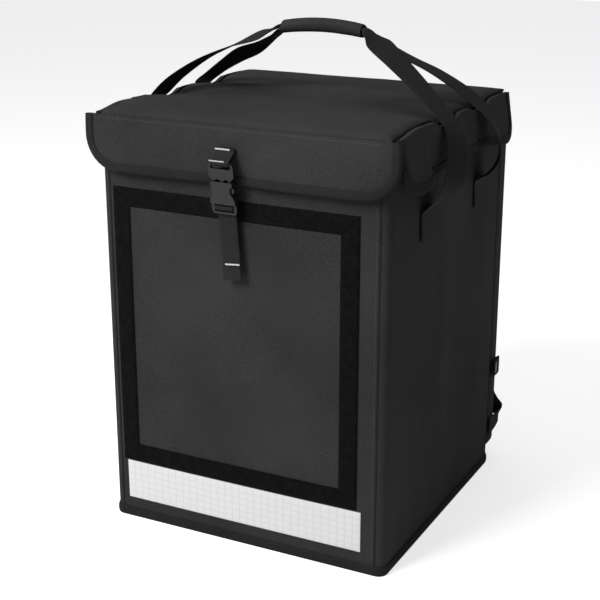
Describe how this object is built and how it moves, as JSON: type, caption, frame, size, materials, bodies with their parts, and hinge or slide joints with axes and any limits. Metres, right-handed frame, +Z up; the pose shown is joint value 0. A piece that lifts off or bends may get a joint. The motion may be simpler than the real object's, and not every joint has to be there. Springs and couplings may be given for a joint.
{
  "type": "insulated delivery backpack",
  "caption": "Tall padded box bag of black cloth with a flap lid, buckle closure, reflective strip, hand grip on webbing straps and a padded back with shoulder straps.",
  "frame": {"origin": "centre of the padded box's base, on the floor", "axes": "+Z up, the front with the buckle looks along -Y, +X to the right of a person who faces the front"},
  "size_m": [0.48, 0.5209, 0.6628],
  "materials": {
    "cloth": "coarse woven nylon over padding, matt",
    "binding_tape": "woven binding tape, matt",
    "loop_tape": "loop side of hook-and-loop tape, fuzzy and matt",
    "reflective": "silver-white reflective tape with a fine grid",
    "webbing": "ribbed nylon webbing, slight sheen",
    "buckle_plastic": "moulded plastic, satin",
    "spacer_mesh": "padded spacer mesh, matt"
  },
  "bodies": {
    "root": {"adjuster_left": "buckle_plastic", "adjuster_right": "buckle_plastic", "anchor_loop_left": "webbing", "anchor_loop_right": "webbing", "back_pad": "spacer_mesh", "base_binding": "binding_tape", "body_shell": "cloth", "buckle_female": "buckle_plastic", "buckle_male": "buckle_plastic", "closure_strap": "webbing", "closure_tab": "webbing", "front_flap": "cloth", "front_flap_binding": "binding_tape", "hand_grip": "cloth", "handle_strap_front": "webbing", "handle_strap_rear": "webbing", "lid_hinge": "cloth", "lid_panel": "cloth", "loop_tape_bottom": "loop_tape", "loop_tape_left": "loop_tape", "loop_tape_right": "loop_tape", "loop_tape_top": "loop_tape", "reflective_strip": "reflective", "shoulder_strap_left": "spacer_mesh", "shoulder_strap_right": "spacer_mesh", "shoulder_webbing_left": "webbing", "shoulder_webbing_right": "webbing", "side_flap_left": "cloth", "side_flap_left_binding": "binding_tape", "side_flap_right": "cloth", "side_flap_right_binding": "binding_tape"}
  },
  "joints": []
}
